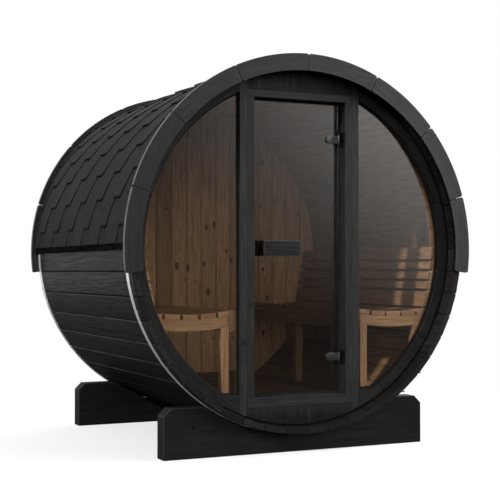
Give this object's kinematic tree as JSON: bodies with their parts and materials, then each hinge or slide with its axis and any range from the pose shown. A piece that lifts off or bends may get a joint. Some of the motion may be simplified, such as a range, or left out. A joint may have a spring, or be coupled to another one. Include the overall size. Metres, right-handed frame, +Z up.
{
  "type": "barrel sauna",
  "caption": "Barrel sauna of straight staves on two cradles, with a shingled upper half, arched fascias, a glazed front with a hinged glass door, and two benches inside.",
  "frame": {"origin": "on the ground, under the middle of the barrel", "axes": "+Z up, +Y from the door towards the back wall along the barrel, +X to the right of someone facing the door"},
  "size_m": [2.14, 1.866, 2.2049],
  "materials": {
    "black_wood": "black stain, matt",
    "warm_wood": "heat-treated, bare",
    "shingles": "bitumen shingles with mineral grit",
    "steel": "stainless, satin",
    "glass": "toughened, lightly smoked"
  },
  "bodies": {
    "cabin": {"cradle_front": "black_wood", "cradle_back": "black_wood", "staves_top": "black_wood", "staves_left": "black_wood", "staves_right": "black_wood", "staves_bottom": "black_wood", "roof_shell": "shingles", "roof_edge_left": "black_wood", "roof_edge_right": "black_wood", "front_fascia": "black_wood", "back_fascia": "black_wood", "front_strap": "steel", "back_strap": "steel", "window_frame_left": "black_wood", "window_frame_right": "black_wood", "window_left": "glass", "window_right": "glass", "post_left": "black_wood", "post_right": "black_wood", "upper_panel": "black_wood", "lower_panel": "black_wood", "jamb_left": "black_wood", "jamb_right": "black_wood", "door_head": "black_wood", "door_sill": "black_wood", "hinge_plates": "steel", "back_wall": "warm_wood", "floor_boards": "warm_wood", "floor_joists": "warm_wood", "bench_left_slats": "warm_wood", "bench_left_bearers": "warm_wood", "bench_left_apron": "warm_wood", "bench_left_legs": "warm_wood", "bench_right_slats": "warm_wood", "bench_right_bearers": "warm_wood", "bench_right_apron": "warm_wood", "bench_right_legs": "warm_wood", "backrest_left": "warm_wood", "backrest_left_blocks": "warm_wood", "backrest_right": "warm_wood", "backrest_right_blocks": "warm_wood"},
    "door": {"door_glass": "glass", "hinge_clamps": "steel", "door_handle": "black_wood", "door_handle_inside": "warm_wood"}
  },
  "joints": [
    {"name": "door_hinge", "type": "hinge", "parent": "cabin", "child": "door", "pos_m": [0.272, -0.783, 0.517], "axis": [0, 0, 1], "range_deg": [0, 95]}
  ]
}
